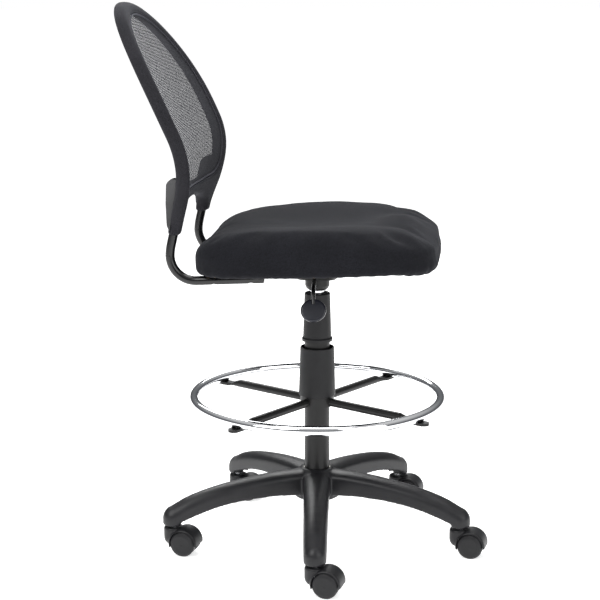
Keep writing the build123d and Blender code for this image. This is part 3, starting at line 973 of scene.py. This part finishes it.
def arm_section(half_width, crown, rounding, under, inset):
    """Points across an arm from one lower edge over its oval crown to the other, in millimetres."""
    width, rise = half_width - inset, rounding - inset * 0.5
    spring = crown - inset - rise
    angles = [math.pi * k / 16 for k in range(17)]
    oval = [(width * math.cos(a), spring + rise * math.sin(a)) for a in angles]
    return [(width, under), *oval, (-width, under)]


def arm_solid(name, inset, drop):
    """A closed arm along +X; inset shrinks it and drop lowers its underside, as for the hollow below."""
    vertices, faces = [], []
    for distance, *shape in ARM_STATIONS:
        half_width, crown, rounding, under = shape
        section = arm_section(half_width, crown, rounding, under - drop, inset)
        vertices += [Vector((distance, across, height)) * MM for across, height in section]
    count = len(vertices) // len(ARM_STATIONS)
    for row in range(len(ARM_STATIONS) - 1):
        for k in range(count):
            a, b = row * count + k, row * count + (k + 1) % count
            faces.append((a, b, b + count, a + count))
    faces += [tuple(range(count)), tuple(reversed(range(len(vertices) - count, len(vertices))))]
    piece = new_piece(name, vertices, faces)
    face_outward(piece.data)
    return piece


def turned_solid(name, profile, steps=48):
    """A closed solid turned about Z from (radius, height) points in millimetres; both ends on the axis."""
    vertices, faces = [], []
    inner = profile[1:-1]
    for radius, height in inner:
        angles = [2 * math.pi * k / steps for k in range(steps)]
        vertices += [Vector((radius * math.cos(a), radius * math.sin(a), height)) * MM for a in angles]
    low, high = len(vertices), len(vertices) + 1
    vertices += [Vector((0, 0, profile[0][1])) * MM, Vector((0, 0, profile[-1][1])) * MM]
    for k in range(steps):
        nxt = (k + 1) % steps
        faces.append((low, nxt, k))
        for row in range(0, (len(inner) - 1) * steps, steps):
            faces.append((row + k, row + nxt, row + steps + nxt, row + steps + k))
        last = (len(inner) - 1) * steps
        faces.append((last + k, last + nxt, high))
    piece = new_piece(name, vertices, faces)
    face_outward(piece.data)
    return piece


def box_solid(name, low, high):
    """A block between two corners in millimetres, to be cut from or joined to another."""
    sides = list(zip(low, high))
    corners = [Vector((x, y, z)) * MM for x in sides[0] for y in sides[1] for z in sides[2]]
    faces = [(0, 1, 3, 2), (4, 6, 7, 5), (0, 4, 5, 1), (2, 3, 7, 6), (0, 2, 6, 4), (1, 5, 7, 3)]
    piece = new_piece(name, corners, faces)
    face_outward(piece.data)
    return piece


def placed(piece, matrix):
    piece.data.transform(matrix)
    return piece


def joined(name, pieces):
    """One object from several solids that overlap."""
    shape = bmesh.new()
    for piece in pieces:
        shape.from_mesh(piece.data)
        bpy.data.objects.remove(piece)
    mesh = bpy.data.meshes.new(name)
    shape.to_mesh(mesh)
    shape.free()
    return show_mesh(name, mesh)


def cut(piece, tool):
    modifier = piece.modifiers.new("cut", "BOOLEAN")
    modifier.operation, modifier.solver, modifier.object = "DIFFERENCE", "EXACT", tool
    applied(piece)
    bpy.data.objects.remove(tool)
    return piece


def dome_profile(radius, foot, spring, crown):
    """Profile of a post with an oval top."""
    angles = [math.pi * k / 20 for k in range(10)]
    oval = [(radius * math.cos(a), spring + (crown - spring) * math.sin(a)) for a in angles]
    return [(0, foot), (radius, foot), *oval, (0, crown)]


def make_base():
    """The moulded star: arms with oval crowns that run into the hub, and open ribbed undersides."""
    at_stem = Matrix.Translation((STEM_RADIUS, 0, 0))
    beam = arm_solid("beam", 0, 0)
    tip = placed(turned_solid("tip", dome_profile(21.2, 58, 72, 94.5)), at_stem)
    arm = remeshed(joined("arm", [beam, tip]), 2.0 * MM)
    cut(arm, arm_solid("hollow", ARM_WALL, 30))
    inside = []
    for place, under in RIB_STATIONS:
        inside.append(box_solid("rib", (place - 1.4, -21, under + 1), (place + 1.4, 21, 112)))
    inside.append(placed(turned_solid("boss", [(0, 59), (12, 59), (12, 92), (0, 92)]), at_stem))
    arm = joined("arm", [arm, *inside])
    arms = []
    for index in range(5):
        copy = show_mesh("arm_copy", arm.data.copy())
        arms.append(placed(copy, Matrix.Rotation(BASE_TURN + index * math.radians(72), 4, "Z")))
    bpy.data.objects.remove(arm)
    hub = turned_solid("hub", HUB_PROFILE)
    piece = remeshed(joined("base_moulding", [hub, *arms]), 2.3 * MM)
    relaxed(piece, 0.5, 10)
    cut(piece, turned_solid("bore", [(0, 60), (26.4, 60), (26.4, 200), (0, 200)]))
    show_finish(piece, "base_nylon")
    piece.name = piece.data.name = "base_moulding"
    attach(piece, "base")
    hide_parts("star_base")
    return piece


def hood_form():
    """A caster's hood about its stem, trailing along +X: a round nose and a canopy over both wheels."""
    nose = turned_solid("nose", NOSE_PROFILE)
    at_axle = Matrix.Translation((CASTER_TRAIL, 0, WHEEL_HEIGHT))
    half = 22.5
    near = [(24.8, -half), (27.6, 0.9 - half), (29.0, 3.4 - half), (29.3, 6 - half)]
    far = [(radius, -across) for radius, across in reversed(near)]
    outer = turned_solid("outer", [(0, -half), *near, *far, (0, half)], 72)
    placed(outer, at_axle @ Matrix.Rotation(math.pi / 2, 4, "X"))
    form = remeshed(joined("hood", [nose, outer]), 1.0 * MM)
    relaxed(form, 0.5, 6)
    wedge = [(-0.2, -0.2), (70, -5), (70, -70), (-80, -70), (-80, -5)]
    vertices = [Vector((x + 24.5, y, z + 25)) * MM for y in (-60, 60) for x, z in wedge]
    faces = [(0, 1, 2, 3, 4), (9, 8, 7, 6, 5)] + [(k, k + 5, (k + 1) % 5 + 5, (k + 1) % 5) for k in range(5)]
    below = new_piece("below", vertices, faces)
    face_outward(below.data)
    for side in (-1, 1):
        room = turned_solid("wheel_room", [(0, 5.2), (26.3, 5.2), (26.3, 60), (0, 60)], 72)
        cut(form, placed(room, at_axle @ Matrix.Rotation(-math.pi / 2 * side, 4, "X")))
    cut(below, box_solid("keep_nose", (-40, -40, 17), (1.0, 40, 70)))
    cut(form, below)
    return form


def make_hoods():
    """The five casters' hoods."""
    form = hood_form()
    for index in range(5):
        angle = BASE_TURN + index * math.radians(72)
        piece = show_mesh(f"caster_{index + 1}_canopy", form.data.copy(), "caster_plastic")
        spot = Matrix.Translation((STEM_RADIUS * math.cos(angle), STEM_RADIUS * math.sin(angle), 0))
        placed(piece, spot @ Matrix.Rotation(CASTER_HEADING, 4, "Z"))
        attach(piece, f"caster_{index + 1}")
        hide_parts(f"caster_{index + 1}_hood")
    bpy.data.objects.remove(form)


COVER_LEAN_START = 0.672  # above this height the covers follow the rim outward
COVER_LEAN_HEIGHT = 0.084
COVER_LEAN_OUT = 0.044


def along_rim(point, side):
    """Where a point of a straight cover goes when the cover follows the rim's band."""
    lean = max(point.z - COVER_LEAN_START, 0.0) / COVER_LEAN_HEIGHT
    x = point.x + side * COVER_LEAN_OUT * lean**1.6
    back = on_back(x, point.z, 0.02).y - on_back(point.x, point.z, 0.02).y
    return Vector((x, point.y + back, point.z))


def make_rear_covers():
    """Moulded covers behind the legs of the back."""
    for side, word in ((-1, "right"), (1, "left")):
        node = f"rear_cover_{word}"
        piece = remeshed(show_mesh(f"{word}_leg_cover", frame["nodes"][node].data.copy()), 1.2 * MM)
        moved_points(piece.data, lambda point, side=side: along_rim(point, side))
        relaxed(piece, 0.5, 2)
        show_finish(piece, "cover_plastic")
        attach(piece, "seat")
        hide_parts(node)


# ------------------------------------------------------------------ stage
def soft_light(name, power, size, place, target, color=(1, 1, 1)):
    light = bpy.data.lights.new(name, "AREA")
    light.energy, light.size, light.color = power, size, color
    lamp = bpy.data.objects.new(name, light)
    lamp.location = place
    lamp.rotation_euler = (Vector(target) - Vector(place)).to_track_quat("-Z", "Y").to_euler()
    bpy.context.scene.collection.objects.link(lamp)


FLOOR_REACH = 60.0
FLOOR_GLOW = 0.62
CAMERA_SIDE = math.radians(5.5)  # from straight abeam, towards the front
CAMERA_DOWN = 0.2065
CAMERA_TURN = -1.46322


def make_world():
    """Near-white behind the object; for its reflections a bright sky over greyer sides."""
    world = bpy.data.worlds.new("studio")
    world.use_nodes = True
    tree = world.node_tree
    tree.nodes.clear()
    direction = add_node(tree, "ShaderNodeTexCoord").outputs["Generated"]
    height = add_node(tree, "ShaderNodeSeparateXYZ", {"Vector": direction}).outputs["Z"]
    sky = add_node(tree, "ShaderNodeValToRGB", {"Fac": height})
    low, high = sky.color_ramp.elements
    low.position, low.color = 0.0, (0.10, 0.10, 0.11, 1)
    high.position, high.color = 0.75, (1.0, 1.0, 1.0, 1)
    band = sky.color_ramp.elements.new(0.30)
    band.color = (0.26, 0.27, 0.28, 1)
    around = add_node(tree, "ShaderNodeBackground", {"Color": sky.outputs["Color"], "Strength": 0.62})
    behind = add_node(tree, "ShaderNodeBackground", {"Color": (1, 1, 1, 1), "Strength": 1.0})
    seen = add_node(tree, "ShaderNodeLightPath").outputs["Is Camera Ray"]
    mix = add_node(tree, "ShaderNodeMixShader", {0: seen, 1: around.outputs[0], 2: behind.outputs[0]})
    add_node(tree, "ShaderNodeOutputWorld", {"Surface": mix.outputs[0]})
    bpy.context.scene.world = world


def make_stage(settings):
    scene = bpy.context.scene
    make_world()
    reach = FLOOR_REACH
    corners = [(-reach, -reach, 0), (reach, -reach, 0), (reach, reach, 0), (-reach, reach, 0)]
    floor = new_piece("floor", corners, [(0, 1, 2, 3)])
    finish = Finish("floor_paint", (0.93, 0.93, 0.93), 0.75)
    finish.paint(finish.ramp(finish.noise(0.6), (0.92, 0.92, 0.92), (0.94, 0.94, 0.94)))
    finish.shader.inputs["Emission Color"].default_value = (1, 1, 1, 1)
    finish.shader.inputs["Emission Strength"].default_value = FLOOR_GLOW
    floor.data.materials.append(finish.material)
    soft_light("key_light", 95, 2.2, (-2.6, 1.9, 2.9), (0, 0, 0.5))
    soft_light("fill_light", 55, 2.6, (-2.4, -2.6, 1.8), (0, 0, 0.5))
    soft_light("rim_light", 60, 1.8, (2.4, 0.6, 2.4), (0, 0, 0.7))
    soft_light("top_light", 60, 2.4, (0, 0, 3.6), (0, 0, 0))
    camera = bpy.data.cameras.new("camera")
    camera.lens, camera.sensor_width = settings.lens, 36.0
    camera.clip_start, camera.clip_end = 0.05, 60.0
    holder = bpy.data.objects.new("camera", camera)
    away, aside = settings.distance * math.cos(CAMERA_SIDE), settings.distance * math.sin(CAMERA_SIDE)
    holder.location = (-away, -aside, settings.height)
    holder.rotation_euler = (math.pi / 2 - CAMERA_DOWN, 0.0, CAMERA_TURN)
    scene.collection.objects.link(holder)
    scene.camera = holder
    scene.view_settings.view_transform = "Standard"
    scene.view_settings.look = "None"


# ------------------------------------------------------------------ operators, panel and start
class CHAIR_OT_finishes(bpy.types.Operator):
    """Give the frame's visible CAD pieces their finishes"""

    bl_idname = "chair.finishes"
    bl_label = "Finish the frame"
    bl_options = {"REGISTER", "UNDO"}

    def execute(self, context):
        make_materials(context.scene.chair_finish)
        for name in frame["nodes"]:
            finish_node(name)
        return {"FINISHED"}


class CHAIR_OT_seat(bpy.types.Operator):
    """Upholster the seat"""

    bl_idname = "chair.seat"
    bl_label = "Upholster the seat"
    bl_options = {"REGISTER", "UNDO"}

    def execute(self, context):
        make_seat(context.scene.chair_seat)
        make_staples()
        return {"FINISHED"}


class CHAIR_OT_back(bpy.types.Operator):
    """Cover the back's frame, stretch its net and close its legs"""

    bl_idname = "chair.back"
    bl_label = "Upholster the back"
    bl_options = {"REGISTER", "UNDO"}

    def execute(self, context):
        settings = context.scene.chair_back
        seams = make_seams(settings, make_rim())
        net = make_net(settings)
        make_rear_covers()
        return {"FINISHED"}


class CHAIR_OT_base(bpy.types.Operator):
    """Mould the star base and the casters' hoods"""

    bl_idname = "chair.base"
    bl_label = "Mould the base"
    bl_options = {"REGISTER", "UNDO"}

    def execute(self, context):
        make_base()
        make_hoods()
        return {"FINISHED"}


class CHAIR_OT_stage(bpy.types.Operator):
    """Set up the floor, the lights and the camera"""

    bl_idname = "chair.stage"
    bl_label = "Set the stage"
    bl_options = {"REGISTER", "UNDO"}

    def execute(self, context):
        make_stage(context.scene.chair_stage)
        return {"FINISHED"}


class CHAIR_PT_panel(bpy.types.Panel):
    """The chair's pieces and their sizes"""

    bl_idname = "CHAIR_PT_panel"
    bl_label = "Drafting Chair"
    bl_space_type = "VIEW_3D"
    bl_region_type = "UI"
    bl_category = "Chair"

    def draw(self, context):
        for attribute, operator in STEPS:
            box = self.layout.box()
            settings = getattr(context.scene, attribute)
            for name in settings.__annotations__:
                box.prop(settings, name)
            box.operator(operator)
        self.layout.operator("chair.base")


# Settings on the scene -> the operator that uses them, in the order in which they run.
STEPS = [
    ("chair_finish", "chair.finishes"), ("chair_seat", "chair.seat"),
    ("chair_back", "chair.back"), ("chair_stage", "chair.stage"),
]
SETTINGS = {
    "chair_finish": ChairFinishSettings, "chair_seat": ChairSeatSettings,
    "chair_back": ChairBackSettings, "chair_stage": ChairStageSettings,
}
CLASSES = [
    *SETTINGS.values(), CHAIR_OT_finishes, CHAIR_OT_seat, CHAIR_OT_back, CHAIR_OT_base,
    CHAIR_OT_stage, CHAIR_PT_panel,
]


def register():
    for made in CLASSES:
        bpy.utils.register_class(made)
    for attribute, made in SETTINGS.items():
        setattr(bpy.types.Scene, attribute, bpy.props.PointerProperty(type=made))


def unregister():
    for attribute in SETTINGS:
        delattr(bpy.types.Scene, attribute)
    for made in reversed(CLASSES):
        bpy.utils.unregister_class(made)


def main():
    register()
    bpy.ops.chair.finishes()
    bpy.ops.chair.seat()
    bpy.ops.chair.back()
    bpy.ops.chair.base()
    bpy.ops.chair.stage()


if __name__ == "__main__":
    main()
